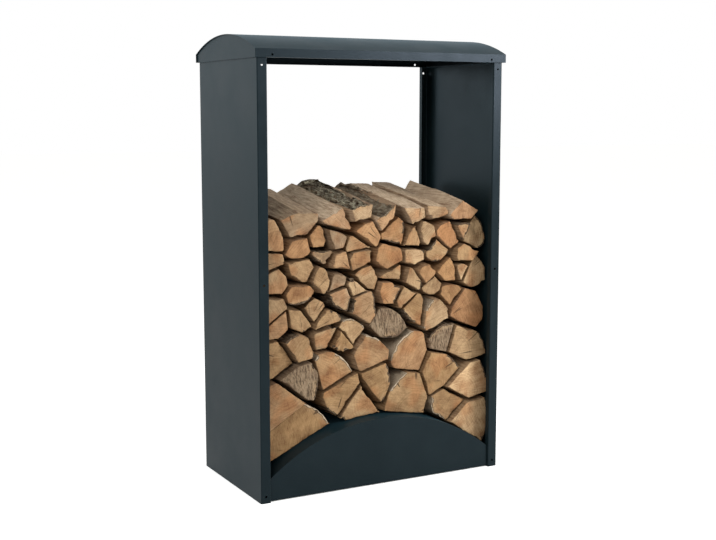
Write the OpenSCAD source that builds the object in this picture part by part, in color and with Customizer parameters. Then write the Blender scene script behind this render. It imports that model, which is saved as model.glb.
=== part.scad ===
// Log store: folded sheet-steel sides, a barrel roof with arched ends, an arched floor
// behind arched kick panels, and a stack of split firewood.
// X runs along the front, Y to the back, Z up. The origin is on the ground, in the middle.

/* [Body] */
// Width over the two side panels
body_w = 820; // [700:5:1000]
// Depth over the front and back flanges
body_d = 440; // [380:5:560]
// Height from the ground to the underside of the roof
body_h = 1275; // [1100:5:1500]
// Thickness of the sheet steel
sheet_t = 1.2; // [0.8:0.1:2]

/* [Side panels] */
// Width of the front and back flanges
flange_w = 31; // [24:1:45]
// Depth of the lip folded inwards from each flange
lip_d = 18; // [13:1:25]
// Outside radius of the upright folds
fold_r = 3; // [2.5:0.5:4.5]
// Width of the edge folded inwards at the top and the foot of a panel
edge_w = 22; // [16:1:28]

/* [Fixing holes] */
// Diameter of the holes in the flanges and fascias
hole_d = 7; // [5:0.5:9]
// Height of the lowest flange hole, and depth of the highest one below the roof
hole_end = 20; // [14:1:40]
// Distance of a fascia hole from the outer face of the side panel
fascia_hole_side = 44; // [30:1:80]
// Height of a fascia hole above the lower edge of the fascia
fascia_hole_up = 8; // [7:0.5:14]

/* [Roof] */
// Overhang of the roof on all four sides
roof_over = 8; // [5:1:15]
// Height of the front and back fascias
fascia_h = 24.5; // [20:0.5:40]
// Rise of the barrel above the fascias
roof_rise = 49; // [30:1:80]
// Width of the lip folded inwards under each fascia
fascia_lip = 14; // [10:1:20]
// Depth of an arched end behind the edge of the roof sheet
gable_inset = 4; // [2:0.5:6]
// Width of the fold by which an arched end sits on its side panel
gable_fold = 26; // [18:1:32]

/* [Floor] */
// Height of the arched edge where it meets the flanges
arch_spring = 67; // [55:1:100]
// Rise of the arch above that height
arch_rise = 137; // [90:1:160]
// Depth of a kick panel behind the face of the flanges
kick_recess = 8; // [5:0.5:11]
// Clearance of a kick panel above the ground
kick_lift = 3; // [2:0.5:8]
// Width of the fold along the foot of a kick panel
kick_fold = 15; // [10:1:25]
// Height of the tab that joins the floor to a side panel
floor_tab = 18; // [10:1:20]

/* [Firewood] */
// Height of the stack under its top row
stack_h = 785; // [600:5:1000]
// Rise of the top row from front to back, where the thick ends of its logs lie
stack_rise = 60; // [0:5:80]
// Depth of the face of the stack behind the front of the store
stack_inset = 45; // [35:1:60]
// Most that a log end stands back from the face of the stack
end_stagger = 22; // [5:1:30]

/* [Hidden] */
$fn = 180;
steel = "#3c454a";
split_wood = "#c8a878";

// Clearance between one log and the next, and between the stack and the steel
log_gap = 0.6;
// Clearance of the back of the stack from the lips
lip_clear = 2;
// Extra length of a cutting shape past the sheet that it cuts
past = 5;

half_open = body_w / 2 - flange_w;
inner_w = body_w - 2 * sheet_t;
roof_half_d = body_d / 2 + roof_over;
roof_half_w = body_w / 2 + roof_over;
roof_spring = body_h + fascia_h;
roof_crown = roof_spring + roof_rise;
roof_r = arc_radius(roof_half_d, roof_rise);
arch_crown = arch_spring + arch_rise;
arch_r = arc_radius(half_open, arch_rise);
arch_centre = arch_crown - arch_r;
stack_front = stack_inset - body_d / 2;
stack_back = body_d / 2 - lip_d - lip_clear;
top_slope = stack_rise / (stack_back - stack_front);

// Logs of the stack, row by row from the floor up and from left to right: place across and up, as percent
// of the half width and of the height over the floor, and the turn from the log's middle to its heart
row_logs = [
    [
        [-72, 23, 10], [-63, 28, 180], [-62, 10, 300], [-24, 15, 45], [-16, 10, 100],
        [1, 18, 185], [23, 13, 315], [72, 13, 10], [80, 10, 185]
    ],
    [
        [-78, 46, 0], [-69, 48, 275], [-33, 29, 245], [-27, 45, 90], [-6, 34, 250],
        [28, 33, 310], [60, 28, 240], [65, 43, 300], [77, 20, 195]
    ],
    [
        [-81, 60, 60], [-61, 59, 90], [-39, 53, 270], [-38, 50, 270], [-25, 46, 270],
        [13, 48, 90], [33, 58, 45], [53, 58, 330], [70, 43, 215]
    ],
    [
        [-85, 64, 0], [-83, 81, 225], [-59, 67, 100], [-53, 62, 240], [-32, 73, 225],
        [-29, 65, 45], [-15, 69, 330], [-11, 61, 190], [15, 67, 250], [26, 63, 0],
        [32, 71, 190], [52, 67, 85], [64, 66, 260], [79, 60, 190]
    ],
    [
        [-85, 85, 0], [-60, 83, 60], [-44, 88, 60], [-43, 76, 190], [-30, 83, 100],
        [-15, 85, 280], [-9, 73, 270], [11, 82, 50], [16, 74, 180], [36, 84, 265],
        [41, 76, 270], [64, 76, 200], [77, 80, 270], [87, 78, 195]
    ],
    [
        [-83, 97, 225], [-61, 89, 100], [-44, 92, 190], [-33, 94, 225], [-16, 90, 300],
        [-9, 97, 290], [17, 98, 180], [37, 91, 190], [41, 92, 0], [52, 85, 100],
        [64, 95, 300], [75, 99, 270], [77, 82, 0], [87, 95, 195]
    ],
    [
        [-64, 104, 60], [-29, 104, 300], [-12, 108, 270], [9, 105, 50], [30, 109, 270],
        [57, 110, 180], [75, 102, 0]
    ]
];
top_row = len(row_logs) - 1;
// Split faces over each log of the top row: lean of the face to the right, and its height over the log's
// place as percent of the half width
top_faces = [
    [[-17, 5.1], [6, 6.1]],
    [[-28, 6.6], [65, 5.4]],
    [[-37, 7.1], [-10, 5.1], [10, 6.4], [99, 8.1]],
    [[-33, 3.7], [98, 5.6]],
    [[2, -0.7], [-122, 6.6]],
    [[5, -3.2], [63, 2.7]],
    [[-42, 10.3], [28, 11.6], [123, 10]]
];
// Furthest that a log reaches from its place, row by row, as percent of the half width
row_reach = [39, 39, 39, 22, 15, 15, 30];
// Radius of the bark of a log under the top row, as a share of its reach from the heart
bark_share = 0.85;
// Logs in one node, row by row
node_logs = [3, 3, 3, 3, 3, 3, 1];
// Shortest side that a log's outline keeps
least_side = 4;
// Turn between the short sides that stand for a bark curve
bark_step = 15;
// Seeds for the places of the front and back ends
log_seeds = 100;
front_seed = 31;
back_seed = 67;

function arc_radius(half_chord, rise) = (half_chord * half_chord + rise * rise) / (2 * rise);
function arch_height(x) = arch_centre + sqrt(arch_r * arch_r - x * x);
function draw(low, high, seed) = rands(low, high, 1, seed)[0];

// Part of a convex outline behind a line, given by a point on it and its outward direction
function clip(outline, line) = len(outline) < 3 ? [] : [
    for (i = [0:len(outline) - 1])
        let (p = outline[i])
        let (q = outline[(i + 1) % len(outline)])
        let (a = (p - line[0]) * line[1])
        let (b = (q - line[0]) * line[1])
        each concat(a <= 0 ? [p] : [], a * b < 0 ? [p + (q - p) * a / (a - b)] : [])
];
function clip_all(outline, lines, i = 0) =
    i == len(lines) ? outline : clip_all(clip(outline, lines[i]), lines, i + 1);

// Lines round a circle, which leave a bark curve where they cut
function circle_lines(centre, radius) = [
    for (turn = [0:bark_step:360 - bark_step])
        let (out = [cos(turn), sin(turn)])
        [centre + radius * out, out]
];

// Places of the logs on the face of the stack
percent_w = inner_w / 200;
function log_place(log) =
    let (x = log[0] * percent_w)
    [x, arch_height(x) + log[1] / 100 * (stack_h - arch_height(x))];
log_places = [for (row = row_logs) [for (log = row) log_place(log)]];
all_places = [for (places = log_places) each places];

// Outline of a log's space: nearer to its own place than to any other, inside the walls and over the floor
function floor_line(x) =
    let (out = [-x, arch_centre - arch_height(x)] / arch_r)
    [[x, arch_height(x)] - log_gap / 2 * out, out];
function between(p, q) =
    let (out = (q - p) / norm(q - p))
    [(p + q) / 2 - log_gap / 2 * out, out];
function log_space(place) =
    let (wall = inner_w / 2 - log_gap / 2)
    let (box = [[-wall, 0], [wall, 0], [wall, body_h], [-wall, body_h]])
    clip_all(box, concat(
        [for (other = all_places) if (other != place) between(place, other)],
        [floor_line(place[0])]
    ));

// Heart of the trunk that a log was split from: on the log's outline, the given turn from its middle
function middle(outline) = [for (p = outline) 1] * outline / len(outline);
function heart(outline, turn) =
    let (from = middle(outline))
    let (way = [cos(turn), sin(turn)])
    let (steps = [
        for (i = [0:len(outline) - 1])
            let (side = outline[(i + 1) % len(outline)] - outline[i])
            let (out = [side[1], -side[0]])
            if (way * out > 0) (outline[i] - from) * out / (way * out)
    ])
    from + way * min(steps);
function barked(outline, turn) =
    let (tip = heart(outline, turn))
    let (reach = max([for (p = outline) norm(p - tip)]))
    clip_all(outline, circle_lines(tip, reach * bark_share));
function without_slivers(outline) = [
    for (i = [0:len(outline) - 1])
        if (norm(outline[(i + 1) % len(outline)] - outline[i]) > least_side) outline[i]
];
function log_outline(row, n) =
    let (place = log_places[row][n])
    let (reach = circle_lines(place, row_reach[row] * percent_w))
    let (split = without_slivers(clip_all(log_space(place), reach)))
    row == top_row ? split : without_slivers(barked(split, row_logs[row][n][2]));

// Nodes of the stack, each a few neighbours in one row
bundles = [
    for (row = [0:top_row])
        for (first = [0:node_logs[row]:len(row_logs[row]) - 1])
            [row, first]
];
function bundle_name(bundle) = str("logs_row_", bundle[0] + 1, "_", bundle[1] / node_logs[bundle[0]] + 1);

// Outlines shared by the sheets
module rounded_rectangle(w, d, r) {
    translate([r, 0]) square([w - 2 * r, d]);
    translate([0, r]) square([w, d - 2 * r]);
    for (x = [r, w - r], y = [r, d - r])
        translate([x, y]) circle(r);
}

module arched_plate(half_w, base, crown, radius) {
    intersection() {
        translate([-half_w, base]) square([2 * half_w, crown - base]);
        translate([0, crown - radius]) circle(radius);
    }
}

// Stands an outline drawn in X and Z upright, from y to y + depth
module upright_x(y, depth) {
    translate([0, y + depth, 0]) rotate([90, 0, 0]) linear_extrude(depth) children();
}

// Stands an outline drawn in Y and Z upright, from x to x + depth
module upright_y(x, depth) {
    translate([x, 0, 0]) rotate([90, 0, 90]) linear_extrude(depth) children();
}

module flange_profile() {
    difference() {
        rounded_rectangle(flange_w, body_d, fold_r);
        translate([sheet_t, sheet_t])
            rounded_rectangle(flange_w - 2 * sheet_t, body_d - 2 * sheet_t, fold_r - sheet_t);
        translate([flange_w / 2, lip_d]) square([flange_w, body_d - 2 * lip_d]);
    }
}

// Side panel with its outer face on x = 0: folded along all four edges, with three holes in
// the front flange and three in the back one
module side_panel() {
    difference() {
        union() {
            translate([0, -body_d / 2, 0]) linear_extrude(body_h) flange_profile();
            for (z = [0, body_h - sheet_t])
                translate([0, fold_r - body_d / 2, z]) cube([edge_w, body_d - 2 * fold_r, sheet_t]);
        }
        for (z = [hole_end, body_h / 2, body_h - hole_end])
            translate([flange_w / 2, 0, z])
                rotate([90, 0, 0]) cylinder(d = hole_d, h = body_d + past, center = true);
    }
}

module left_side_panel() {
    color(steel) translate([-body_w / 2, 0, 0]) side_panel();
}

module right_side_panel() {
    color(steel) mirror([1, 0, 0]) translate([-body_w / 2, 0, 0]) side_panel();
}

// Barrel roof in one sheet with its fascias and the lips under them
module roof_section() {
    difference() {
        arched_plate(roof_half_d, body_h, roof_crown, roof_r);
        arched_plate(roof_half_d - sheet_t, body_h - past, roof_crown - sheet_t, roof_r - sheet_t);
    }
    for (side = [-1, 1])
        translate([side * (roof_half_d - fascia_lip / 2) - fascia_lip / 2, body_h])
            square([fascia_lip, sheet_t]);
}

module roof_sheet() {
    color(steel) difference() {
        upright_y(-roof_half_w, 2 * roof_half_w) roof_section();
        for (side = [-1, 1])
            translate([side * (body_w / 2 - fascia_hole_side), 0, body_h + fascia_hole_up])
                rotate([90, 0, 0]) cylinder(d = hole_d, h = 2 * roof_half_d + past, center = true);
    }
}

// Arched end on the left: a plate inside the roof sheet, folded to sit on the side panel
module gable() {
    lip_half_d = roof_half_d - fascia_lip;
    upright_y(gable_inset - roof_half_w, sheet_t) {
        arched_plate(roof_half_d - sheet_t, body_h + sheet_t, roof_crown - sheet_t, roof_r - sheet_t);
        translate([-lip_half_d, body_h]) square([2 * lip_half_d, 2 * sheet_t]);
    }
    translate([gable_inset - roof_half_w, -lip_half_d, body_h]) cube([gable_fold, 2 * lip_half_d, sheet_t]);
}

module left_gable() {
    color(steel) gable();
}

module right_gable() {
    color(steel) mirror([1, 0, 0]) gable();
}

// Floor: one sheet bowed up between the side panels, narrowed where it passes the lips,
// with a tab turned down along each panel
module floor_section(half_w) {
    intersection() {
        difference() {
            translate([0, arch_centre]) circle(arch_r);
            translate([0, arch_centre]) circle(arch_r - sheet_t);
        }
        translate([-half_w, 0]) square([2 * half_w, arch_crown]);
    }
}

module arched_floor() {
    kick_depth = body_d - 2 * (kick_recess + sheet_t);
    lip_depth = body_d - 2 * lip_d;
    edge_z = arch_height(inner_w / 2);
    color(steel) {
        upright_x(-kick_depth / 2, kick_depth) floor_section(half_open);
        upright_x(-lip_depth / 2, lip_depth) floor_section(inner_w / 2);
        for (side = [-1, 1])
            translate([side * (inner_w - sheet_t) / 2 - sheet_t / 2, -lip_depth / 2, edge_z - floor_tab])
                cube([sheet_t, lip_depth, floor_tab]);
    }
}

// Kick panel at the front: an arched plate between the lips, folded back along its foot
module kick_panel() {
    face_y = kick_recess - body_d / 2;
    upright_x(face_y, sheet_t) arched_plate(half_open, kick_lift, arch_crown, arch_r);
    translate([-half_open, face_y, kick_lift]) cube([2 * half_open, kick_fold, sheet_t]);
}

module front_kick_panel() {
    color(steel) kick_panel();
}

module back_kick_panel() {
    color(steel) mirror([0, 1, 0]) kick_panel();
}

// What a split face of the top row takes away: all that lies over it, with the face rising to the back
module over_face(place, face) {
    on = place + face[1] * percent_w * [sin(face[0]), cos(face[0])];
    translate([on[0], stack_front, on[1]])
        rotate([atan(top_slope), 0, 0])
            rotate([0, face[0], 0])
                translate([-body_d, -body_d, 0]) cube([2 * body_d, 3 * body_d, body_d]);
}

// One log, with its own place and length between the faces of the stack
module log(row, n) {
    seed = log_seeds * row + n;
    front = stack_front + draw(0, end_stagger, seed + front_seed);
    back = stack_back - draw(0, end_stagger, seed + back_seed);
    difference() {
        upright_x(front, back - front) polygon(log_outline(row, n));
        if (row == top_row)
            for (face = top_faces[n])
                over_face(log_places[row][n], face);
    }
}

module logs(bundle) {
    row = bundle[0];
    last = min(bundle[1] + node_logs[row], len(row_logs[row])) - 1;
    color(split_wood)
        for (n = [bundle[1]:last])
            log(row, n);
}

left_side_panel();
right_side_panel();
roof_sheet();
left_gable();
right_gable();
arched_floor();
front_kick_panel();
back_kick_panel();
for (bundle = bundles)
    logs(bundle);
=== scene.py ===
"""Dresses the log store: a powder coat on the CAD's own steel sheets, and split firewood in place of its
plain logs."""
import math

import bmesh
import bpy
import numpy as np
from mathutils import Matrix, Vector


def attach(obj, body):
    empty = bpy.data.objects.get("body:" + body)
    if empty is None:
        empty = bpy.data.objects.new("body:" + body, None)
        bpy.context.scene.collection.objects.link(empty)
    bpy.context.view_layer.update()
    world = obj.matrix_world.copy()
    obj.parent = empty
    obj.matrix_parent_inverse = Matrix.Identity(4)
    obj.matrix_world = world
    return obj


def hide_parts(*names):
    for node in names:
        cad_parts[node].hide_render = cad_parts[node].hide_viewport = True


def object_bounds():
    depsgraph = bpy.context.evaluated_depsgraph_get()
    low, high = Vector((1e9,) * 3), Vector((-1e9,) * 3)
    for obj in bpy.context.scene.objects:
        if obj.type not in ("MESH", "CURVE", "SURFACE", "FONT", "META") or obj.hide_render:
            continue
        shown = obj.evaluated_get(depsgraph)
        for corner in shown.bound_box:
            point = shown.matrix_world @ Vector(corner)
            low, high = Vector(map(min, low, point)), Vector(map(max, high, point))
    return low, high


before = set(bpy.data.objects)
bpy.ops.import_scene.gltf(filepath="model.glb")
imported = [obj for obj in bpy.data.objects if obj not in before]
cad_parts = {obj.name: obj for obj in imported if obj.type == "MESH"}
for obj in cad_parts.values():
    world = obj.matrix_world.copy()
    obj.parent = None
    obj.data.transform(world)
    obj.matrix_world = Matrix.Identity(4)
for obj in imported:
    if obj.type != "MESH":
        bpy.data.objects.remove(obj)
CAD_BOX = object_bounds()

bl_info = {
    "name": "Log store",
    "version": (1, 0, 0),
    "blender": (4, 5, 0),
    "location": "View3D > Sidebar > Log store",
    "description": "Powder coat, split firewood and a plain studio for a steel log store",
    "category": "Object",
}

MM = 0.001
BODY = "root"
LOG_NODES = sorted(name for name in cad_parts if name.startswith("logs_row_"))
STEEL_NODES = sorted(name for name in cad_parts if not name.startswith("logs_row_"))
TOP_ROW = max(int(name.split("_")[2]) for name in LOG_NODES)
# Rows of small logs, and logs in one node of a row under the top one
SMALL_ROWS = (4, 5, 6)
NODE_LOGS = 3
# Turn between the short sides that stand for a bark curve in the CAD, in degrees
BARK_STEP = 15
# A side is upright where its normal points this much across the store
UPRIGHT = 0.999
# An upright side that reaches this far out lies at a side panel
WALL_REACH = abs(CAD_BOX[0][0]) - 15 * MM
# Only the split faces on top of the stack rise to the back, by more than this slope
OPEN_SLOPE = 0.02
# Turns round a log that are tried to find its heart, and to measure its girth
HEART_TURNS, GIRTH_TURNS = 720, 1440
# Most of the way to a log's middle that a gap takes up: between logs, and at the left panel
GAP_SHARE, WALL_GAP_SHARE = 0.3, 0.75
# Chips out of an end's edge: fewest and one past the most, widths in millimetres, and run along the log
CHIPS, CHIP_WIDTHS, CHIP_RUN = (4, 9), (5, 16), 12 * MM
# Sawn ends: least fray of the edge and what is added to it, in millimetres, and most that one is hollow
FRAY, MORE_FRAY, HOLLOW = 0.5, 1.8, 1.5 * MM
# Width of a mesh face round a log, in the top row that shows its sides and in the others
TOP_FACE, LOG_FACE = 2.6 * MM, 3.4 * MM
# Rings of a sawn end: distances from its border, then shares of the way out from its middle
BORDER_RINGS = (1.4 * MM, 4 * MM, 8 * MM, 13 * MM)
MIDDLE_RINGS = (0.5, 0.36, 0.22, 0.1)
# Logs that differ from the rest: row from the floor, and number in the row from the left
PALE_LOGS = {(6, 5), (6, 9), (6, 12), (5, 10), (5, 13), (4, 7), (3, 8)}
# Logs painted lighter than their wood: painted light over the shadow that the side lamp leaves on them
SHADE_LIFTED_LOGS = {(6, 14), (5, 14), (2, 9), (1, 9)}
RUSTY_LOGS = {(7, 7), (6, 2), (6, 11), (5, 12), (4, 3), (4, 9), (4, 13), (4, 14)}
GREY_LOGS = {(7, 1), (6, 4), (5, 3), (4, 5), (4, 6)}
MOTTLED_LOGS = {(3, 6), (2, 8), (1, 2)}
PALE_BARK_LOGS = {(3, 5), (3, 8), (2, 3), (2, 5), (2, 6), (1, 3), (1, 7), (1, 8)}
# Upper faces of the top row that kept bark: the log's number, and least and most lean to the right in degrees
TOP_BARK = {3: (-50, 30), 4: (-50, -15)}
# Share of lichen on old bark, and of pale patches on a top log's bark
MOSSY_LOGS = {(7, 3): 1.0, (7, 4): 0.5}
PALE_TOP_BARK = {(7, 4): 0.2}
# Top logs that are less or more weathered than the rest
WEATHERED = {(7, 1): 0.3, (7, 2): 1.0}
# Lamps: place, and width and height
LAMPS = {"key_lamp": ((-2.9, -2.5, 2.9), (2.2, 2.2)), "side_lamp": ((2.0, -2.5, 1.7), (1.2, 0.8))}
# Turns to the left of straight back, in degrees, over which the pale wall comes in and goes out
WALL_EDGES = ((27, 33), (75, 60))
# The studio's floor: half its width, and its height, a hair under the store
FLOOR_HALF, FLOOR_HEIGHT = 30.0, -0.2 * MM


def linear(code):
    """The linear colour of an sRGB hex value."""
    parts = [int(code[i:i + 2], 16) / 255 for i in (1, 3, 5)]
    return tuple(c / 12.92 if c <= 0.04045 else ((c + 0.055) / 1.055) ** 2.4 for c in parts)


def put(tree, kind, feeds=None, **settings):
    """Adds a node to a tree and gives its outputs. Feeds are values or other outputs, by input name or
    number."""
    made = tree.nodes.new(kind)
    for key, value in settings.items():
        setattr(made, key, value)
    for key, value in (feeds or {}).items():
        if isinstance(value, bpy.types.NodeSocket):
            tree.links.new(value, made.inputs[key])
        else:
            made.inputs[key].default_value = value
    return made.outputs


def emptied(owner):
    """The node tree of a new material or world, with nothing in it."""
    owner.use_nodes = True
    owner.node_tree.nodes.clear()
    return owner.node_tree


def added(context, name, data):
    """A new object at the origin of the scene."""
    made = bpy.data.objects.new(name, data)
    context.scene.collection.objects.link(made)
    return made


def colour_setting(name, description, code):
    """A setting for a colour, with its sRGB hex value."""
    return bpy.props.FloatVectorProperty(
        name=name, description=description, subtype="COLOR", min=0, max=1, default=linear(code))


def share_setting(name, description, share):
    """A setting for a share from 0 to 1."""
    return bpy.props.FloatProperty(
        name=name, description=description, subtype="FACTOR", min=0, max=1, default=share)


def length_setting(name, description, length, least=0.0):
    """A setting for a length, in metres."""
    return bpy.props.FloatProperty(
        name=name, description=description, unit="LENGTH", min=least, default=length)


class SteelFinish(bpy.types.PropertyGroup):
    """The powder coat on the folded steel."""

    coat: colour_setting("Coat", "Colour of the powder coat", "#0e1719")
    dust: colour_setting("Dusty coat", "Colour of the coat where a film of dust lies on it", "#161f21")
    roughness: share_setting("Roughness", "Mean roughness of the coat", 0.35)
    shine: share_setting("Shine", "Specular level of the coat", 0.13)
    glint: colour_setting("Glint", "Tint of what the coat mirrors", "#d5e7ff")
    bloom: share_setting("Bloom", "Weight of the coat's faint bloom at low angles", 0.05)
    bloom_tint: colour_setting("Bloom tint", "Colour of that bloom", "#7cdcff")
    peel: length_setting("Orange peel", "Width of one dimple of the coat's orange peel", 5 * MM, least=MM)
    cloud: length_setting(
        "Cloud", "Width of the soft clouds in the coat's dust and gloss", 160 * MM, least=10 * MM)


class FirewoodLook(bpy.types.PropertyGroup):
    """The split logs."""

    pale: colour_setting("Pale wood", "Colour of the palest logs", "#ac916d")
    ripe: colour_setting("Ripe wood", "Colour of most logs", "#9b7b53")
    rust: colour_setting("Rusty wood", "Colour of the reddest logs", "#9d6f47")
    grey: colour_setting("Weathered wood", "Colour of wood that lay in the open", "#dac4a7")
    late: colour_setting("Late wood", "Tint of the rings, rays and fibres", "#7d5a36")
    bark: colour_setting("Bark", "Colour of the bark's ridges", "#5f4c3a")
    pale_bark: colour_setting("Pale bark", "Colour of smooth, pale bark", "#a3927c")
    fissure: colour_setting(
        "Fissures", "Colour of checks and of the gaps between the bark's ridges", "#221509")
    lichen: colour_setting("Lichen", "Colour of the lichen on the old bark", "#b3af98")
    bark_share: share_setting("Barked logs", "Share of the small logs that kept their bark", 0.35)
    bark_thick: length_setting("Bark thickness", "Mean width of the bark on a sawn end", 5 * MM, least=MM)
    rounding: length_setting(
        "Rounding", "How far the corners of a log are worn round", 1.3 * MM, least=0.5 * MM)
    gap: length_setting(
        "Gaps", "Most that a split face stands back from its plain log at the ends", 6.5 * MM)
    wall_gap: length_setting(
        "Wall gap", "Most that a log stands back from the left panel at the ends", 46 * MM)
    taper: length_setting("Taper", "Depth at which those gaps are closed", 110 * MM, least=MM)
    wobble: length_setting("Wobble", "How far a split face wanders inside its plain log", 2.8 * MM)
    chip: length_setting("Chips", "Depth of the deepest chip out of the edge of an end", 6 * MM)
    skew: bpy.props.FloatProperty(
        name="Saw skew", description="Most that a sawn end leans out of square", subtype="ANGLE",
        unit="ROTATION", min=0, default=math.radians(5))
    bark_relief: length_setting("Bark relief", "Depth of the fissures of the bark", 7 * MM)
    fibre_relief: length_setting("Fibre relief", "Depth of the torn fibres on a split face", 2.6 * MM)
    saw_relief: length_setting("Saw relief", "Depth of the unevenness of a sawn end", 0.7 * MM)
    ring: length_setting(
        "Ring width", "Width of one year's ring, drawn coarse enough to show", 5 * MM, least=MM)
    seed: bpy.props.IntProperty(
        name="Seed", description="Seed of all that is random on the logs", default=11)


class StudioLook(bpy.types.PropertyGroup):
    """The plain studio."""

    floor: colour_setting("Floor", "Colour of the floor", "#f6f6f4")
    floor_lift: bpy.props.FloatProperty(
        name="Floor lift", description="Light added to the floor where it is seen, so that it ends in white",
        min=0, default=0.54)
    mirrored_lift: share_setting("Mirrored lift", "Share of that light that the coat mirrors", 0.3)
    room_light: bpy.props.FloatProperty(
        name="Room light", description="Strength of the even light from all round", min=0, default=0.5)
    pale_wall: bpy.props.FloatProperty(
        name="Pale wall", description="Light that a wall at the back left adds to what the coat mirrors",
        min=0, default=2.1)
    wall_tint: colour_setting("Wall tint", "Colour of that wall", "#cef4ff")
    key_power: bpy.props.FloatProperty(
        name="Key lamp", description="Power of the large lamp at the front, high on the left", unit="POWER",
        min=0, default=100)
    side_power: bpy.props.FloatProperty(
        name="Side lamp", description="Power of the wide lamp on the right", unit="POWER", min=0, default=110)
    camera_place: bpy.props.FloatVectorProperty(
        name="Camera", description="Place of the camera", subtype="TRANSLATION", unit="LENGTH",
        default=(-1.7487, -3.2964, 1.1238))
    camera_turn: bpy.props.FloatProperty(
        name="Turn", description="How far the camera looks to the right of straight on", unit="ROTATION",
        subtype="ANGLE", default=math.radians(28.287))
    camera_drop: bpy.props.FloatProperty(
        name="Drop", description="How far the camera looks down", unit="ROTATION", subtype="ANGLE",
        default=math.radians(7.497))
    lens: bpy.props.FloatProperty(
        name="Lens", description="Focal length on a frame 36 mm wide", subtype="DISTANCE_CAMERA",
        default=60.21)


def powder_coat(look):
    """Anthracite polyester powder coat, sprayed and baked: dark and satin, with faint orange peel and a film
    of dust. It gives a flat blue-grey that only lightens where it mirrors a bright wall at a low angle."""
    material = bpy.data.materials.new("anthracite_powder_coat")
    tree = emptied(material)
    place = put(tree, "ShaderNodeTexCoord")["Object"]
    # Soft clouds of dust, which lift the colour and dull the gloss by a little
    cloud = put(tree, "ShaderNodeTexNoise", {
        "Vector": place, "Scale": 1 / look.cloud, "Detail": 4.0, "Roughness": 0.6})[0]
    film = put(tree, "ShaderNodeMapRange", {
        "Value": cloud, "From Min": 0.35, "From Max": 0.75, "To Max": 0.6})[0]
    # The speckle of the baked powder is finer than a pixel, so it is drawn 3 mm wide
    speckle = put(tree, "ShaderNodeTexNoise", {"Vector": place, "Scale": 1 / (3 * MM), "Detail": 2.0})[0]
    grain = put(tree, "ShaderNodeMapRange", {
        "Value": speckle, "From Min": 0.3, "From Max": 0.7, "To Min": -0.12, "To Max": 0.12})[0]
    share = put(tree, "ShaderNodeMath", {0: film, 1: grain}, operation="ADD", use_clamp=True)[0]
    colour = put(tree, "ShaderNodeMix", {0: share, 6: (*look.coat, 1), 7: (*look.dust, 1)},
                 data_type="RGBA")[2]
    # Dust settles on what faces up, and dulls it
    facing = put(tree, "ShaderNodeSeparateXYZ", {0: put(tree, "ShaderNodeNewGeometry")["Normal"]})["Z"]
    settled = put(tree, "ShaderNodeMapRange", {
        "Value": facing, "From Min": 0.15, "From Max": 0.8, "To Max": 0.16})[0]
    dull = put(tree, "ShaderNodeMapRange", {
        "Value": cloud, "From Min": 0.3, "From Max": 0.7, "To Min": look.roughness - 0.05,
        "To Max": look.roughness + 0.06})[0]
    dull = put(tree, "ShaderNodeMath", {0: dull, 1: settled}, operation="ADD")[0]
    peel = put(tree, "ShaderNodeTexNoise", {"Vector": place, "Scale": 1 / look.peel, "Detail": 1.0})[0]
    bump = put(tree, "ShaderNodeBump", {"Height": peel, "Strength": 0.25, "Distance": 0.25 * MM})[0]
    shader = put(tree, "ShaderNodeBsdfPrincipled", {
        "Base Color": colour, "Roughness": dull, "Normal": bump, "Specular IOR Level": look.shine,
        "Specular Tint": (*look.glint, 1), "Sheen Weight": look.bloom, "Sheen Roughness": 0.4,
        "Sheen Tint": (*look.bloom_tint, 1)})[0]
    put(tree, "ShaderNodeOutputMaterial", {"Surface": shader})
    return material


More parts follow.
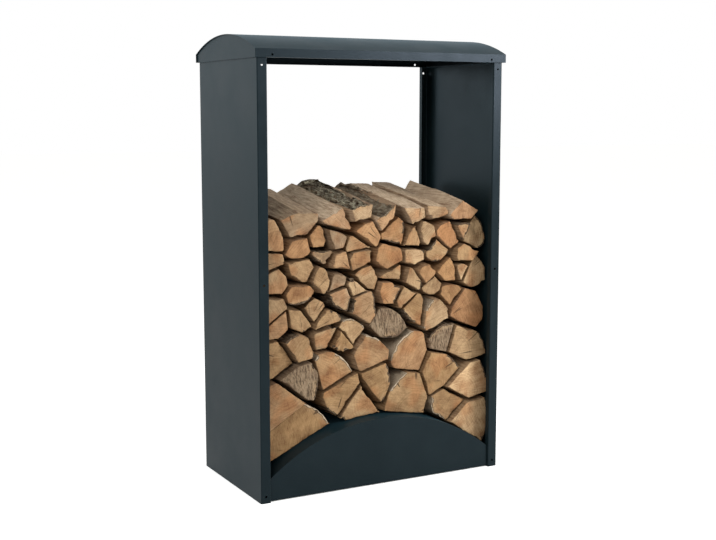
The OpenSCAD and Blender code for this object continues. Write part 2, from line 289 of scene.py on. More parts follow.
def firewood(look):
    """Air-dried hardwood, sawn across and split along: rings, rays, checks and saw marks on the ends, torn
    grey fibres on the split faces, and rough bark outside with a pale line of sapwood under it."""
    material = bpy.data.materials.new("split_air_dried_hardwood")
    tree = emptied(material)
    pale, rust, grey, late, bark, pale_bark, fissure, lichen = (
        (*getattr(look, key), 1)
        for key in ("pale", "rust", "grey", "late", "bark", "pale_bark", "fissure", "lichen"))
    place = put(tree, "ShaderNodeTexCoord")["Object"]
    heart = put(tree, "ShaderNodeAttribute", attribute_name="heart")["Vector"]
    cut = put(tree, "ShaderNodeAttribute", attribute_name="saw_cut")["Vector"]
    own = put(tree, "ShaderNodeAttribute", attribute_name="log_colour")["Color"]
    age, mottle, rind, rim, chalky, moss, cap, bare = (
        put(tree, "ShaderNodeAttribute", attribute_name=key)["Fac"]
        for key in ("log_age", "log_mottle", "bark", "rim", "pale_bark", "lichen", "cut_end", "open_face"))
    end = put(tree, "ShaderNodeMapRange", {"Value": cap, "From Min": 0.3, "From Max": 0.7})[0]
    side = put(tree, "ShaderNodeMath", {0: 1.0, 1: end}, operation="SUBTRACT")[0]

    # Even patterns, by the width of a spot in millimetres, detail and roughness
    bend, blotches, grit, blush, patch, uneven = (
        put(tree, "ShaderNodeTexNoise", {
            "Vector": place, "Scale": 1 / (width * MM), "Detail": detail, "Roughness": rough})[0]
        for width, detail, rough in ((24, 2.0, 0.5), (38, 4.0, 0.5), (4, 3.0, 0.7), (60, 1.0, 0.5),
                                     (20, 5.0, 0.7), (12, 2.0, 0.5)))
    # Long patterns, by the size of a spot. Saw marks run one way over each end; a chain saw's are about a
    # millimetre apart and are drawn 3 mm apart. Torn fibres are drawn 5 mm wide so that they show.
    saw_size, blot_size = (3 * MM, 45 * MM, 1.0), (4 * MM, 16 * MM, 1.0)
    fibre_size, ridge_size = (5 * MM, 170 * MM, 5 * MM), (8 * MM, 42 * MM, 8 * MM)
    long_patterns = []
    for spot, size, detail, rough in ((cut, saw_size, 3.0, 0.6), (cut, blot_size, 3.0, 0.6),
                                      (place, fibre_size, 5.0, 0.68), (place, ridge_size, 4.0, 0.62)):
        spot = put(tree, "ShaderNodeVectorMath", {0: spot, 1: tuple(1 / s for s in size)},
                   operation="MULTIPLY")[0]
        long_patterns.append(put(tree, "ShaderNodeTexNoise", {
            "Vector": spot, "Scale": 1.0, "Detail": detail, "Roughness": rough})[0])
    saw, blot, fibres, ridges = long_patterns

    # Rings round the heart, of uneven width and bent by a few millimetres
    flat = put(tree, "ShaderNodeVectorMath", {0: heart, 1: (1, 0, 1)}, operation="MULTIPLY")[0]
    radius = put(tree, "ShaderNodeVectorMath", {0: flat}, operation="LENGTH")["Value"]
    years = put(tree, "ShaderNodeMath", {0: radius, 1: 1 / look.ring}, operation="MULTIPLY")[0]
    years = put(tree, "ShaderNodeMath", {0: bend, 1: 2.0, 2: years}, operation="MULTIPLY_ADD")[0]
    rings = put(tree, "ShaderNodeTexNoise", {"W": years, "Scale": 1.0, "Detail": 2.0, "Roughness": 0.6},
                noise_dimensions="1D")[0]

    # Rays and checks: streaks that hang on the direction from the heart
    ray = put(tree, "ShaderNodeVectorMath", {0: flat}, operation="NORMALIZE")[0]
    drift = put(tree, "ShaderNodeMath", {0: radius, 1: 1.2}, operation="MULTIPLY")[0]
    drift = put(tree, "ShaderNodeCombineXYZ", {"Y": drift})[0]
    drift = put(tree, "ShaderNodeVectorMath", {0: ray, 1: drift}, operation="ADD")[0]
    own_id = put(tree, "ShaderNodeSeparateXYZ", {0: cut})["Z"]
    rays = put(tree, "ShaderNodeTexNoise", {
        "Vector": drift, "W": own_id, "Scale": 13.0, "Detail": 4.0, "Roughness": 0.65},
        noise_dimensions="4D")[0]
    checks = put(tree, "ShaderNodeTexNoise", {"Vector": drift, "W": own_id, "Scale": 10.0, "Detail": 1.0},
                 noise_dimensions="4D")[0]
    checks = put(tree, "ShaderNodeMapRange", {"Value": checks, "From Min": 0.685, "From Max": 0.72})[0]
    checks = put(tree, "ShaderNodeMath", {0: checks, 1: end}, operation="MULTIPLY")[0]

    # An end is darker along its edge, over an uneven width
    edge = put(tree, "ShaderNodeMapRange", {
        "Value": blotches, "From Min": 0.3, "From Max": 0.7, "To Min": 0.5 * MM, "To Max": 4 * MM})[0]
    edge = put(tree, "ShaderNodeMath", {0: rim, 1: edge}, operation="DIVIDE")[0]
    edge = put(tree, "ShaderNodeMapRange", {"Value": edge, "To Min": 1.0, "To Max": 0.0})[0]

    # How dark the marks are, first on an end and then on a split face
    end_marks = ((rings, 0.42, 0.66, 0.14), (rays, 0.40, 0.74, 0.22), (saw, 0.42, 0.70, 0.26),
                 (blotches, 0.38, 0.70, 0.38), (grit, 0.45, 0.75, 0.16), (edge, 0.0, 1.0, 0.15))
    side_marks = ((fibres, 0.42, 0.72, 0.72), (blotches, 0.40, 0.70, 0.25), (rings, 0.45, 0.70, 0.10),
                  (grit, 0.45, 0.75, 0.15))
    depths = []
    for where, table in ((end, end_marks), (side, side_marks)):
        total = 0.0
        for pattern, low, high, weight in table:
            part = put(tree, "ShaderNodeMapRange", {
                "Value": pattern, "From Min": low, "From Max": high, "To Max": weight})[0]
            total = put(tree, "ShaderNodeMath", {0: total, 1: part}, operation="ADD")[0]
        depths.append(put(tree, "ShaderNodeMath", {0: total, 1: where}, operation="MULTIPLY")[0])
    marks = put(tree, "ShaderNodeMath", {0: depths[0], 1: depths[1]}, operation="ADD", use_clamp=True)[0]

    # A split face greys with age, and an end much less
    greyed = put(tree, "ShaderNodeMapRange", {"Value": end, "To Min": 1.0, "To Max": 0.2})[0]
    greyed = put(tree, "ShaderNodeMath", {0: greyed, 1: age}, operation="MULTIPLY")[0]
    wood = put(tree, "ShaderNodeMix", {0: greyed, 6: own, 7: grey}, data_type="RGBA")[2]
    # A rusty blush on parts of the ends, but not of mottled ones
    blush = put(tree, "ShaderNodeMapRange", {
        "Value": blush, "From Min": 0.50, "From Max": 0.66, "To Max": 0.6})[0]
    blush = put(tree, "ShaderNodeMath", {0: blush, 1: end}, operation="MULTIPLY")[0]
    blush = put(tree, "ShaderNodeMath", {0: blush, 1: mottle}, operation="SUBTRACT", use_clamp=True)[0]
    wood = put(tree, "ShaderNodeMix", {0: blush, 6: wood, 7: rust}, data_type="RGBA")[2]
    # Sapwood is paler, next to the bark
    sap = put(tree, "ShaderNodeMapRange", {
        "Value": rim, "From Min": 6 * MM, "From Max": 24 * MM, "To Min": 0.6, "To Max": 0.0})[0]
    for part in (rind, end):
        sap = put(tree, "ShaderNodeMath", {0: sap, 1: part}, operation="MULTIPLY")[0]
    wood = put(tree, "ShaderNodeMix", {0: sap, 6: wood, 7: pale}, data_type="RGBA")[2]
    # Split faces inside the stack are darkened towards brown: painted shade of the deep gaps between the logs
    painted_gap_shade = put(tree, "ShaderNodeMapRange", {"Value": bare, "To Min": 0.42, "To Max": 0.0})[0]
    for share in (marks, painted_gap_shade):
        wood = put(tree, "ShaderNodeMix", {0: share, 6: wood, 7: late}, data_type="RGBA",
                   blend_type="MULTIPLY")[2]
    # Ends that dried in the open are mottled with dark and chalky streaks
    for low, high, most, colour in ((0.50, 0.62, 0.70, fissure), (0.44, 0.36, 0.25, pale_bark)):
        spread = put(tree, "ShaderNodeMapRange", {
            "Value": blot, "From Min": low, "From Max": high, "To Max": most})[0]
        for part in (mottle, end):
            spread = put(tree, "ShaderNodeMath", {0: spread, 1: part}, operation="MULTIPLY")[0]
        wood = put(tree, "ShaderNodeMix", {0: spread, 6: wood, 7: colour}, data_type="RGBA")[2]
    crack = put(tree, "ShaderNodeMath", {0: checks, 1: 0.7}, operation="MULTIPLY")[0]
    wood = put(tree, "ShaderNodeMix", {0: crack, 6: wood, 7: fissure}, data_type="RGBA")[2]

    # Bark in ridges, some of it smooth and pale, with lichen in patches
    rise = put(tree, "ShaderNodeMapRange", {"Value": ridges, "From Min": 0.36, "From Max": 0.62})[0]
    skin = put(tree, "ShaderNodeMix", {0: rise, 6: fissure, 7: bark}, data_type="RGBA")[2]
    smooth = put(tree, "ShaderNodeMapRange", {
        "Value": grit, "From Min": 0.3, "From Max": 0.5, "To Min": 0.35})[0]
    smooth = put(tree, "ShaderNodeMath", {0: smooth, 1: chalky}, operation="MULTIPLY")[0]
    skin = put(tree, "ShaderNodeMix", {0: smooth, 6: skin, 7: pale_bark}, data_type="RGBA")[2]
    patch = put(tree, "ShaderNodeMapRange", {"Value": patch, "From Min": 0.40, "From Max": 0.64})[0]
    for part in (moss, rise):
        patch = put(tree, "ShaderNodeMath", {0: patch, 1: part}, operation="MULTIPLY")[0]
    skin = put(tree, "ShaderNodeMix", {0: patch, 6: skin, 7: lichen}, data_type="RGBA")[2]
    # On an end the bark is a rim of uneven width, with a thin dark line between it and the wood
    thick = put(tree, "ShaderNodeMapRange", {
        "Value": uneven, "From Min": 0.3, "From Max": 0.7, "To Min": 0.5 * look.bark_thick,
        "To Max": 1.5 * look.bark_thick})[0]
    under = put(tree, "ShaderNodeMath", {0: rim, 1: thick}, operation="SUBTRACT")[0]
    kept = put(tree, "ShaderNodeMapRange", {"Value": rind, "From Min": 0.45, "From Max": 0.6})[0]
    for low, high, colour in ((1.0 * MM, 2.2 * MM, fissure), (-0.6 * MM, 0.4 * MM, skin)):
        outside = put(tree, "ShaderNodeMapRange", {
            "Value": under, "From Min": low, "From Max": high, "To Min": 1.0, "To Max": 0.0})[0]
        outside = put(tree, "ShaderNodeMath", {0: outside, 1: kept}, operation="MULTIPLY")[0]
        wood = put(tree, "ShaderNodeMix", {0: outside, 6: wood, 7: colour}, data_type="RGBA")[2]

    # What stands up in the bump, where, and by how much
    heights = ((fibres, side, 1.0), (saw, end, 0.5), (rays, end, 0.4), (checks, end, -1.0),
               (ridges, outside, 1.2), (grit, outside, 0.4))
    height = 0.0
    for pattern, where, weight in heights:
        part = put(tree, "ShaderNodeMath", {0: pattern, 1: where}, operation="MULTIPLY")[0]
        height = put(tree, "ShaderNodeMath", {0: part, 1: weight, 2: height}, operation="MULTIPLY_ADD")[0]
    bump = put(tree, "ShaderNodeBump", {"Height": height, "Strength": 0.7, "Distance": 1.8 * MM})[0]
    rough = put(tree, "ShaderNodeMapRange", {"Value": outside, "To Min": 0.75, "To Max": 0.93})[0]
    shader = put(tree, "ShaderNodeBsdfPrincipled", {
        "Base Color": wood, "Roughness": rough, "Normal": bump, "Specular IOR Level": 0.2})[0]
    put(tree, "ShaderNodeOutputMaterial", {"Surface": shader})
    return material


def studio_paper(look):
    """Matt white background paper: it keeps soft shadows, and a little added light ends it in plain white."""
    material = bpy.data.materials.new("white_studio_paper")
    tree = emptied(material)
    rays = put(tree, "ShaderNodeLightPath")
    seen = put(tree, "ShaderNodeMath", {0: rays["Is Glossy Ray"], 1: look.mirrored_lift},
               operation="MULTIPLY")[0]
    for ray in ("Is Camera Ray", "Is Transmission Ray"):
        seen = put(tree, "ShaderNodeMath", {0: seen, 1: rays[ray]}, operation="MAXIMUM")[0]
    lift = put(tree, "ShaderNodeMath", {0: seen, 1: look.floor_lift}, operation="MULTIPLY")[0]
    # The paper under the store stays in its shade
    half_x, half_y = CAD_BOX[1][:2]
    place = put(tree, "ShaderNodeTexCoord")["Object"]
    place = put(tree, "ShaderNodeVectorMath", {0: place, 1: (1 / half_x, 1 / half_y, 0.0)},
                operation="MULTIPLY")[0]
    place = put(tree, "ShaderNodeVectorMath", {0: place}, operation="ABSOLUTE")[0]
    across = put(tree, "ShaderNodeSeparateXYZ", {0: place})
    outside = put(tree, "ShaderNodeMath", {0: across["X"], 1: across["Y"]}, operation="MAXIMUM")[0]
    outside = put(tree, "ShaderNodeMapRange", {"Value": outside, "From Min": 0.9, "From Max": 1.0})[0]
    lift = put(tree, "ShaderNodeMath", {0: lift, 1: outside}, operation="MULTIPLY")[0]
    matt = put(tree, "ShaderNodeBsdfDiffuse", {"Color": (*look.floor, 1)})[0]
    glow = put(tree, "ShaderNodeEmission", {"Strength": lift})[0]
    both = put(tree, "ShaderNodeAddShader", {0: matt, 1: glow})[0]
    put(tree, "ShaderNodeOutputMaterial", {"Surface": both})
    return material


def studio_room(look):
    """White all round where it is seen or mirrored, and an even, weaker light from all round."""
    world = bpy.data.worlds.new("studio")
    tree = emptied(world)
    rays = put(tree, "ShaderNodeLightPath")
    seen = rays["Is Camera Ray"]
    for ray in ("Is Glossy Ray", "Is Transmission Ray"):
        seen = put(tree, "ShaderNodeMath", {0: seen, 1: rays[ray]}, operation="MAXIMUM")[0]
    level = put(tree, "ShaderNodeMapRange", {"Value": seen, "To Min": look.room_light, "To Max": 1.0})[0]
    sky = put(tree, "ShaderNodeBackground", {"Color": (1, 1, 1, 1), "Strength": level})[0]
    # A paler wall at the back on the left is only seen in the coat, and lights the inside of the right panel
    way = put(tree, "ShaderNodeSeparateXYZ", {0: put(tree, "ShaderNodeTexCoord")["Generated"]})
    left = put(tree, "ShaderNodeMath", {0: way["X"], 1: -1.0}, operation="MULTIPLY")[0]
    turn = put(tree, "ShaderNodeMath", {0: left, 1: way["Y"]}, operation="ARCTAN2")[0]
    wall = rays["Is Glossy Ray"]
    for low, high in WALL_EDGES:
        edge = put(tree, "ShaderNodeMapRange", {
            "Value": turn, "From Min": math.radians(low), "From Max": math.radians(high)})[0]
        wall = put(tree, "ShaderNodeMath", {0: wall, 1: edge}, operation="MULTIPLY")[0]
    wall = put(tree, "ShaderNodeMath", {0: wall, 1: look.pale_wall}, operation="MULTIPLY")[0]
    wall = put(tree, "ShaderNodeBackground", {"Color": (*look.wall_tint, 1), "Strength": wall})[0]
    both = put(tree, "ShaderNodeAddShader", {0: sky, 1: wall})[0]
    put(tree, "ShaderNodeOutputWorld", {"Surface": both})
    return world


def relief_tree():
    """A Geometry Nodes tree that cuts bark fissures, torn fibres and saw marks into a log, always inwards."""
    tree = bpy.data.node_groups.new("log_relief", "GeometryNodeTree")
    tree.interface.new_socket(name="Geometry", in_out="INPUT", socket_type="NodeSocketGeometry")
    for name in ("Bark relief", "Fibre relief", "Saw relief", "Seed"):
        tree.interface.new_socket(name=name, in_out="INPUT", socket_type="NodeSocketFloat")
    tree.interface.new_socket(name="Material", in_out="INPUT", socket_type="NodeSocketMaterial")
    tree.interface.new_socket(name="Geometry", in_out="OUTPUT", socket_type="NodeSocketGeometry")
    given = put(tree, "NodeGroupInput")
    place = put(tree, "GeometryNodeInputPosition")[0]
    rind, end, moss, wear = (
        put(tree, "GeometryNodeInputNamedAttribute", {"Name": key}, data_type="FLOAT")["Attribute"]
        for key in ("bark", "cut_end", "lichen", "wear"))
    # Fibres run the length of a log, bark breaks into plates, and both bark and saw leave an unevenness
    spans = {"fibre": (9 * MM, 220 * MM, 9 * MM), "plate": (14 * MM, 60 * MM, 14 * MM),
             "grit": (11 * MM, 20 * MM, 11 * MM)}
    spots = {key: put(tree, "ShaderNodeVectorMath", {0: place, 1: tuple(1 / s for s in span)},
                      operation="MULTIPLY")[0] for key, span in spans.items()}
    fibres = put(tree, "ShaderNodeTexNoise", {
        "Vector": spots["fibre"], "W": given["Seed"], "Scale": 1.0, "Detail": 4.0}, noise_dimensions="4D")[0]
    plates = put(tree, "ShaderNodeTexVoronoi", {"Vector": spots["plate"], "W": given["Seed"], "Scale": 1.0},
                 voronoi_dimensions="4D", feature="DISTANCE_TO_EDGE")["Distance"]
    cracks = put(tree, "ShaderNodeMapRange", {
        "Value": plates, "From Max": 0.35, "To Min": 0.65, "To Max": 0.0})[0]
    grit = put(tree, "ShaderNodeTexNoise", {
        "Vector": spots["grit"], "W": given["Seed"], "Scale": 1.0, "Detail": 2.0}, noise_dimensions="4D")[0]
    scales = put(tree, "ShaderNodeMath", {0: grit, 1: 0.65, 2: cracks}, operation="MULTIPLY_ADD")[0]
    split = put(tree, "ShaderNodeMath", {0: fibres, 1: given["Fibre relief"]}, operation="MULTIPLY")[0]
    rough = put(tree, "ShaderNodeMath", {0: scales, 1: given["Bark relief"]}, operation="MULTIPLY")[0]
    # Old bark with lichen on it is the deepest cut
    rough = put(tree, "ShaderNodeMath", {0: rough, 1: moss, 2: rough}, operation="MULTIPLY_ADD")[0]
    sawn = put(tree, "ShaderNodeMath", {0: grit, 1: given["Saw relief"]}, operation="MULTIPLY")[0]
    side = put(tree, "ShaderNodeMix", {0: rind, 2: split, 3: rough})[0]
    depth = put(tree, "ShaderNodeMix", {0: end, 2: side, 3: sawn})[0]
    depth = put(tree, "ShaderNodeMath", {0: depth, 1: wear}, operation="MULTIPLY")[0]
    inwards = put(tree, "ShaderNodeMath", {0: depth, 1: -1.0}, operation="MULTIPLY")[0]
    normal = put(tree, "GeometryNodeInputNormal")[0]
    offset = put(tree, "ShaderNodeVectorMath", {0: normal, "Scale": inwards}, operation="SCALE")[0]
    moved = put(tree, "GeometryNodeSetPosition", {"Geometry": given["Geometry"], "Offset": offset})[0]
    real = put(tree, "GeometryNodeRealizeInstances", {"Geometry": moved})[0]
    done = put(tree, "GeometryNodeSetMaterial", {"Geometry": real, "Material": given["Material"]})[0]
    put(tree, "NodeGroupOutput", {"Geometry": done})
    return tree


def plain_logs(node):
    """The logs of a CAD node in the CAD's order. A log is convex, so it is told by the normals and distances
    of its side planes, the depths of its ends and the middles (x, z) of its ends."""
    mesh = bmesh.new()
    mesh.from_mesh(node.data)
    bmesh.ops.remove_doubles(mesh, verts=mesh.verts, dist=0.01 * MM)
    mesh.verts.index_update()
    mesh.faces.index_update()
    mesh.normal_update()
    left = set(mesh.verts)
    groups = []
    while left:
        group, border = set(), [left.pop()]
        while border:
            vert = border.pop()
            group.add(vert)
            near = {edge.other_vert(vert) for edge in vert.link_edges} & left
            left -= near
            border.extend(near)
        groups.append(sorted(group, key=lambda vert: vert.index))
    groups.sort(key=lambda group: group[0].index)
    logs = []
    for group in groups:
        points = np.array([vert.co[:] for vert in group])
        depths = points[:, 1].min(), points[:, 1].max()
        middles = [points[abs(points[:, 1] - y) < 0.5 * MM][:, [0, 2]].mean(0) for y in depths]
        planes = {}
        for face in sorted({face for vert in group for face in vert.link_faces}, key=lambda face: face.index):
            if abs(face.normal.y) < 0.9 and face.calc_area() > MM * MM:
                plane = face.normal[:], face.normal.dot(face.verts[0].co)
                planes.setdefault(tuple(round(v, 3) for v in face.normal), plane)
        if len(planes) < 3:
            raise RuntimeError(f"{node.name}: a log has too few sides")
        normals, reach = (np.array(part) for part in zip(*planes.values()))
        logs.append((normals, reach, depths, middles))
    mesh.free()
    return logs


def cross_sections(log, turns, steps, gaps=0.0):
    """Points (x, z) on a log's sides, for shares of its depth by turns round its middle, and the plane of
    each. Gaps are how far each plane stands back at each share of the depth."""
    normals, reach, (y_front, y_back), (front, back) = log
    middle = front + steps[:, None] * (back - front)
    way = np.stack([np.cos(turns), np.sin(turns)], axis=1)
    facing = (normals[:, [0, 2]] @ way.T)[:, None]
    depth = y_front + steps * (y_back - y_front)
    room = (reach[:, None] - gaps - normals[:, [0, 2]] @ middle.T - normals[:, [1]] * depth)[:, :, None]
    far = np.where(facing > 1e-6, room / np.maximum(facing, 1e-6), np.inf)
    return middle[:, None] + far.min(0)[:, :, None] * way, far.argmin(0)


def trunk(log, row, number):
    """Which side planes of a log are bark, and the place of the heart of the trunk that it was split from."""
    normals, reach, _, (middle, _) = log
    if row == TOP_ROW:
        lean = np.degrees(np.arctan2(normals[:, 0], normals[:, 2]))
        low, high = TOP_BARK.get(number, (0, -1))
        bark = (lean > low) & (lean < high)
    else:
        turn = np.degrees(np.arctan2(normals[:, 2], normals[:, 0])) / BARK_STEP
        wall = (abs(normals[:, 0]) > UPRIGHT) & (reach > WALL_REACH)
        # The sides of a bark curve stand at whole steps
        bark = (abs(turn - np.round(turn)) < 0.02) & ~wall
    # The heart lies on the outline, across from the bark or else from the widest side
    ring, planes = cross_sections(log, np.linspace(0, 2 * math.pi, HEART_TURNS, endpoint=False), np.zeros(1))
    shown = bark[planes[0]] if bark[planes[0]].any() else planes[0] == np.bincount(planes[0]).argmax()
    way = middle - ring[0][shown].mean(0)
    opposite, _ = cross_sections(log, np.arctan2(way[1:], way[:1]), np.zeros(1))
    return bark, opposite[0, 0]


def side_gaps(log, bark, look, random):
    """How far each side plane of a log stands back at its ends, and which planes lie open on top of the
    stack. The gaps show dark between the ends, and close in the depth of the stack."""
    normals, reach, (y_front, _), (middle, _) = log
    least = reach - normals @ np.array([middle[0], y_front, middle[1]])
    gap = np.minimum(look.gap * random.random(len(bark)) ** 1.3, GAP_SHARE * least)
    gap[bark] = gap[bark].mean() if bark.any() else 0.0
    on_top = abs(normals[:, 1]) > OPEN_SLOPE
    gap[on_top] = 0.0
    # Beside the left panel a wider gap is left open behind the flange
    wall = (normals[:, 0] < -UPRIGHT) & (reach > WALL_REACH) & ~on_top.any()
    gap[wall] = np.minimum(look.wall_gap, WALL_GAP_SHARE * least[wall])
    return gap, on_top


def wander(random, across, along, waves, turns):
    """A smooth random height from 0 to 1 over a log's side, as an array of depth by round."""
    total = np.zeros((len(along), len(across)))
    for _ in range(waves):
        round_turns, length = random.integers(*turns), random.uniform(0.2, 1.6)
        phase = round_turns * across[None] + length * along[:, None] + random.random()
        total += np.cos(2 * math.pi * phase)
    # Two standard deviations of the sum fill 0 to 1
    return np.clip(0.5 + total / (2.8 * math.sqrt(waves)), 0, 1)


def side_wear(log, look, random, across, steps, depth, girth):
    """How far the sides of a log stand inside the plain one: they wander, and chips are out of both ends."""
    _, _, (y_front, y_back), _ = log
    inset = look.wobble * (0.7 * wander(random, across, steps, 6, (1, 7))
                           + 0.3 * wander(random, across, steps, 8, (8, 24)))
    for _ in range(random.integers(*CHIPS)):
        spot, wide = random.random(), random.uniform(*CHIP_WIDTHS) * MM / girth
        deep = look.chip * random.random()
        away = abs((across - spot + 0.5) % 1 - 0.5)
        near = depth - y_front if random.random() < 0.6 else y_back - depth
        inset += deep * np.exp(-(away / wide) ** 2)[None] * np.exp(-near / CHIP_RUN)
    return inset


def fine_outlines(log, marks, gaps, look, spacing, steps):
    """A log's outlines at shares of its depth, worn round at the corners and cut evenly, with the marks of
    the planes that their points lie on, their outward directions and the girth."""
    turns = np.linspace(0, 2 * math.pi, GIRTH_TURNS, endpoint=False)
    ring = cross_sections(log, turns, np.array([0.5]))[0][0]
    gone = np.cumsum(np.linalg.norm(np.roll(ring, -1, axis=0) - ring, axis=1))
    girth = gone[-1]
    fine = np.interp(np.linspace(0, girth, int(girth / MM), endpoint=False), np.append(0, gone),
                     np.append(turns, 2 * math.pi))
    rings, planes = cross_sections(log, fine, steps, gaps)
    reach = int(4 * look.rounding / MM)
    kernel = np.exp(-0.5 * (np.arange(-reach, reach + 1) * MM / look.rounding) ** 2)
    kernel /= kernel.sum()
    worn = sum(weight * np.roll(rings, k - reach, axis=1) for k, weight in enumerate(kernel))
    kept = np.linspace(0, len(fine), int(girth / spacing), endpoint=False).astype(int)
    ahead = np.roll(worn, -2, axis=1) - np.roll(worn, 2, axis=1)
    outward = np.stack([ahead[..., 1], -ahead[..., 0]], axis=2) / np.linalg.norm(ahead, axis=2)[..., None]
    found = (mark[planes[len(steps) // 2]][kept].astype(float) for mark in marks)
    return (worn[:, kept], *found, outward[:, kept], girth)


def sawn_end(border, before, made, sign, fray, hollow):
    """The rings of a sawn end, a little hollow and frayed at its border: their points, how far those lie
    from the border, and the faces. Before numbers the border's own points; made counts all those so far."""
    count = len(border)
    middle = border.mean(0)
    spoke = border - middle
    length = np.linalg.norm(spoke, axis=1)
    points, rims, faces = [], [], []
    # On a small end the border's rings stay outside the middle's, and the fray ends a sixth of the way in
    keeps = [np.maximum(1 - ring / length, 0.66 - 0.04 * k) for k, ring in enumerate(BORDER_RINGS)]
    for keep in keeps + [np.full(count, share) for share in MIDDLE_RINGS]:
        now = middle + spoke * keep[:, None]
        now[:, 1] = border[:, 1] - sign * fray * min(1, 6 * (1 - keep.mean())) + sign * hollow * (1 - keep)
        points.append(now)
        rims.append(length * (1 - keep))
        here = made + np.arange(count)
        quads = np.stack([before, np.roll(before, -1), np.roll(here, -1), here], axis=1)
        faces += quads[:, ::sign].tolist()
        before, made = here, made + count
    points.append(points[-1].mean(0)[None])
    rims.append(length.mean()[None])
    fan = np.stack([before, np.roll(before, -1), np.full(count, made)], axis=1)
    faces += fan[:, ::sign].tolist()
    return np.vstack(points), np.concatenate(rims), faces


def split_log(log, bark, heart, look, random, spacing, steps):
    """One log as points, faces and the values by point that its relief and its material read."""
    normals, _, (y_front, y_back), _ = log
    gap, on_top = side_gaps(log, bark, look, random)
    near_end = np.clip(1 - np.minimum(steps, 1 - steps) * (y_back - y_front) / look.taper, 0, 1)
    bare = (normals[:, 2] > 0.05) & on_top.any()
    outline, rind, shown, seen, outward, girth = fine_outlines(
        log, (bark, on_top, bare), gap[:, None] * near_end, look, spacing, steps)
    # Wear and relief fade in the depth of the stack, where the logs lie tight, but not on top of it
    worn = np.maximum(near_end[:, None], shown[None])
    count = outline.shape[1]
    across = np.arange(count) / count

    # Both ends are sawn a little out of square and frayed along their edge, always inside the plain log
    frays, setbacks = [], []
    for border in (outline[0], outline[-1]):
        turn, lean = random.uniform(0, 2 * math.pi), math.tan(look.skew * random.random() ** 2)
        slope = border @ (lean * np.array([math.cos(turn), math.sin(turn)]))
        frays.append(MM * (FRAY + MORE_FRAY * wander(random, across, np.zeros(1), 8, (6, 40))[0]))
        setbacks.append(slope - slope.min() + frays[-1])
    start, stop = setbacks
    depth = y_front + start + steps[:, None] * (y_back - stop - y_front - start)
    inset = side_wear(log, look, random, across, steps, depth, girth)
    flat = outline - outward * (inset * worn)[:, :, None]
    sides = np.stack([flat[..., 0], depth, flat[..., 1]], axis=2)

    made = len(steps) * count
    points = [sides.reshape(-1, 3)]
    values = {"bark": [np.tile(rind, len(steps))], "rim": [np.zeros(made)], "wear": [worn.ravel()],
              "cut_end": [np.zeros(made)], "open_face": [np.tile(seen, len(steps))]}
    number = np.arange(made).reshape(len(steps), count)
    following = np.roll(number, -1, axis=1)
    quads = np.stack([number[:-1], number[1:], following[1:], following[:-1]], axis=2)
    faces = quads.reshape(-1, 4).tolist()
    for last, sign, fray in ((0, 1, frays[0]), (-1, -1, frays[1])):
        hollow = random.uniform(0, HOLLOW)
        end_points, rims, end_faces = sawn_end(sides[last], number[last], made, sign, fray, hollow)
        points.append(end_points)
        faces += end_faces
        made += len(rims)
        ones = np.ones(len(rims))
        for key, part in (("bark", np.append(np.tile(rind, len(rims) // count), 0.0)), ("rim", rims),
                          ("wear", ones), ("cut_end", ones), ("open_face", ones)):
            values[key].append(part)
    points = np.vstack(points)
    values = {key: np.concatenate(parts) for key, parts in values.items()}
    values["heart"] = points - np.array([heart[0], y_front, heart[1]])
    return points, faces, values


def log_style(look, random, row, number):
    """What sets a log off from the next: its wood's colour, and how grey, mottled or pale-barked it is."""
    pale, ripe, rust, grey = (np.array(getattr(look, key)) for key in ("pale", "ripe", "rust", "grey"))
    own = (row, number)
    share = random.uniform(0.25, 1.0)
    colour = pale + share * (ripe - pale)
    age = random.uniform(0.55, 0.85) if row == TOP_ROW else random.uniform(0.05, 0.35)
    if own in PALE_LOGS:
        colour = pale * random.uniform(0.98, 1.05)
    # These logs are painted lighter, as painted light over the side lamp's shadow on them
    elif own in SHADE_LIFTED_LOGS:
        colour = pale * random.uniform(1.2, 1.35)
    elif own in RUSTY_LOGS:
        colour = ripe + random.uniform(0.3, 0.7) * (rust - ripe)
    elif own in GREY_LOGS or own in MOTTLED_LOGS:
        shade = 0.5 if own in MOTTLED_LOGS else 0.72
        colour = shade * (ripe + random.uniform(0.2, 0.5) * (grey - ripe))
    elif random.random() < 0.3:
        colour = colour + random.uniform(0.2, 0.5) * (rust - colour)
    colour = colour * random.uniform(0.84, 1.11)
    return {"log_colour": np.append(colour, 1), "log_age": WEATHERED.get(own, age),
            "log_mottle": float(own in MOTTLED_LOGS), "lichen": MOSSY_LOGS.get(own, 0.15),
            "pale_bark": PALE_TOP_BARK.get(own, float(own in PALE_BARK_LOGS))}


def depth_steps(fine):
    """The rings along a log as shares of its length, closer together at its ends."""
    ends = np.array([0, 0.008, 0.02, 0.045, 0.08])
    middle = np.linspace(0.12, 0.88, 90 if fine else 6)
    return np.concatenate([ends, middle, 1 - ends[::-1]])


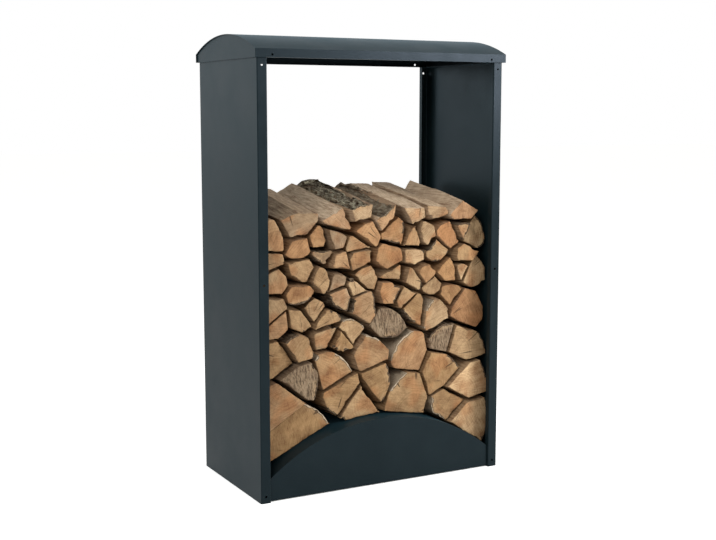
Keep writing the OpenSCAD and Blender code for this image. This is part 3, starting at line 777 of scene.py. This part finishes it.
def split_logs(name, look, random):
    """The mesh of a node's split logs, with the values by point that their relief and their material read."""
    row, column = (int(part) for part in name.split("_")[2:])
    top = row == TOP_ROW
    points, faces, values, made = [], [], {}, 0
    for k, log in enumerate(plain_logs(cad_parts[name])):
        number = column if top else (column - 1) * NODE_LOGS + k + 1
        bark, heart = trunk(log, row, number)
        if row in SMALL_ROWS and random.random() > look.bark_share:
            bark[:] = False
        style = log_style(look, random, row, number)
        corners, polygons, found = split_log(log, bark, heart, look, random, TOP_FACE if top else LOG_FACE,
                                             depth_steps(top))
        # The saw's strokes run up an end that dried in the open, and any way over the rest
        turn = 0.15 if style["log_mottle"] else random.uniform(0, math.pi)
        x, z = corners[:, 0] - corners[:, 0].mean(), corners[:, 2] - corners[:, 2].mean()
        found["saw_cut"] = np.stack([x * math.cos(turn) + z * math.sin(turn),
                                     z * math.cos(turn) - x * math.sin(turn),
                                     np.full(len(corners), 100 * random.random())], axis=1)
        for key, value in style.items():
            found[key] = np.full((len(corners), *np.shape(value)), value)
        for key, value in found.items():
            values.setdefault(key, []).append(value)
        points.append(corners)
        faces += [[made + i for i in polygon] for polygon in polygons]
        made += len(corners)
    mesh = bpy.data.meshes.new(f"split_{name}")
    mesh.from_pydata(np.vstack(points).tolist(), [], faces)
    kinds = {1: ("FLOAT", "value"), 3: ("FLOAT_VECTOR", "vector"), 4: ("FLOAT_COLOR", "color")}
    for key, parts in values.items():
        flat = np.concatenate([np.asarray(part, np.float32) for part in parts])
        kind, field = kinds[flat.shape[1] if flat.ndim > 1 else 1]
        mesh.attributes.new(key, kind, "POINT").data.foreach_set(field, flat.ravel())
    mesh.shade_smooth()
    mesh.set_sharp_from_angle(angle=math.radians(50))
    return mesh


class LOGSTORE_OT_coat_steel(bpy.types.Operator):
    """Powder-coats the steel sheets"""

    bl_idname = "logstore.coat_steel"
    bl_label = "Coat the steel"

    def execute(self, context):
        coat = powder_coat(context.scene.log_store_steel)
        for name in STEEL_NODES:
            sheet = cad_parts[name]
            sheet.data.materials.clear()
            sheet.data.materials.append(coat)
        return {"FINISHED"}


class LOGSTORE_OT_stack_firewood(bpy.types.Operator):
    """Puts split logs with bark, fibres and sawn ends in place of the plain ones"""

    bl_idname = "logstore.stack_firewood"
    bl_label = "Stack the firewood"

    def execute(self, context):
        look = context.scene.log_store_wood
        wood = firewood(look)
        tree = relief_tree()
        sockets = {item.name: item.identifier for item in tree.interface.items_tree if item.in_out == "INPUT"}
        for index, name in enumerate(LOG_NODES):
            random = np.random.default_rng(look.seed * 1000 + index)
            obj = added(context, f"split_{name}", split_logs(name, look, random))
            relief = obj.modifiers.new("relief", "NODES")
            relief.node_group = tree
            for key, value in (("Bark relief", look.bark_relief), ("Fibre relief", look.fibre_relief),
                               ("Saw relief", look.saw_relief), ("Seed", float(look.seed + index)),
                               ("Material", wood)):
                relief[sockets[key]] = value
            view = context.evaluated_depsgraph_get()
            carved = bpy.data.meshes.new_from_object(obj.evaluated_get(view), preserve_all_data_layers=True,
                                                     depsgraph=view)
            obj.modifiers.clear()
            obj.data = carved
            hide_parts(name)
            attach(obj, BODY)
        return {"FINISHED"}


class LOGSTORE_OT_set_stage(bpy.types.Operator):
    """Sets the plain studio, its lamps and the camera"""

    bl_idname = "logstore.set_stage"
    bl_label = "Set the stage"

    def execute(self, context):
        look = context.scene.log_store_studio
        scene = context.scene
        scene.view_settings.view_transform = "Standard"
        scene.world = studio_room(look)

        mesh = bpy.data.meshes.new("studio_floor")
        corners = ((-1, -1), (1, -1), (1, 1), (-1, 1))
        mesh.from_pydata([(x * FLOOR_HALF, y * FLOOR_HALF, FLOOR_HEIGHT) for x, y in corners], [],
                         [(0, 1, 2, 3)])
        mesh.materials.append(studio_paper(look))
        floor = added(context, "studio_floor", mesh)

        middle = Vector(tuple((a + b) / 2 for a, b in zip(*CAD_BOX)))
        powers = {"key_lamp": look.key_power, "side_lamp": look.side_power}
        for name, (place, size) in LAMPS.items():
            lamp = bpy.data.lights.new(name, "AREA")
            lamp.shape = "RECTANGLE"
            lamp.size, lamp.size_y = size
            lamp.energy = powers[name]
            holder = added(context, name, lamp)
            holder.location = place
            holder.rotation_euler = (middle - Vector(place)).to_track_quat("-Z", "Y").to_euler()

        eye = bpy.data.cameras.new("camera")
        eye.sensor_width = 36.0
        eye.lens = look.lens
        eye.clip_end = 60.0
        holder = added(context, "camera", eye)
        holder.location = look.camera_place
        holder.rotation_euler = (math.pi / 2 - look.camera_drop, 0, -look.camera_turn)
        scene.camera = holder
        return {"FINISHED"}


class LOGSTORE_PT_sidebar(bpy.types.Panel):
    """The log store's panel in the sidebar"""

    bl_idname = "LOGSTORE_PT_sidebar"
    bl_label = "Log store"
    bl_space_type = "VIEW_3D"
    bl_region_type = "UI"
    bl_category = "Log store"

    def draw(self, context):
        for group, operator in GROUPS:
            look = getattr(context.scene, group)
            box = self.layout.box()
            for key in look.bl_rna.properties.keys():
                if key not in ("rna_type", "name"):
                    box.prop(look, key)
            box.operator(operator.bl_idname)


GROUPS = (
    ("log_store_steel", LOGSTORE_OT_coat_steel),
    ("log_store_wood", LOGSTORE_OT_stack_firewood),
    ("log_store_studio", LOGSTORE_OT_set_stage),
)
LOOKS = {"log_store_steel": SteelFinish, "log_store_wood": FirewoodLook, "log_store_studio": StudioLook}
CLASSES = (*LOOKS.values(), *(operator for _, operator in GROUPS), LOGSTORE_PT_sidebar)


def register():
    for kind in CLASSES:
        bpy.utils.register_class(kind)
    for key, kind in LOOKS.items():
        setattr(bpy.types.Scene, key, bpy.props.PointerProperty(type=kind))


def unregister():
    for key in LOOKS:
        delattr(bpy.types.Scene, key)
    for kind in reversed(CLASSES):
        bpy.utils.unregister_class(kind)


def main():
    register()
    bpy.ops.logstore.coat_steel()
    bpy.ops.logstore.stack_firewood()
    bpy.ops.logstore.set_stage()


if __name__ == "__main__":
    main()
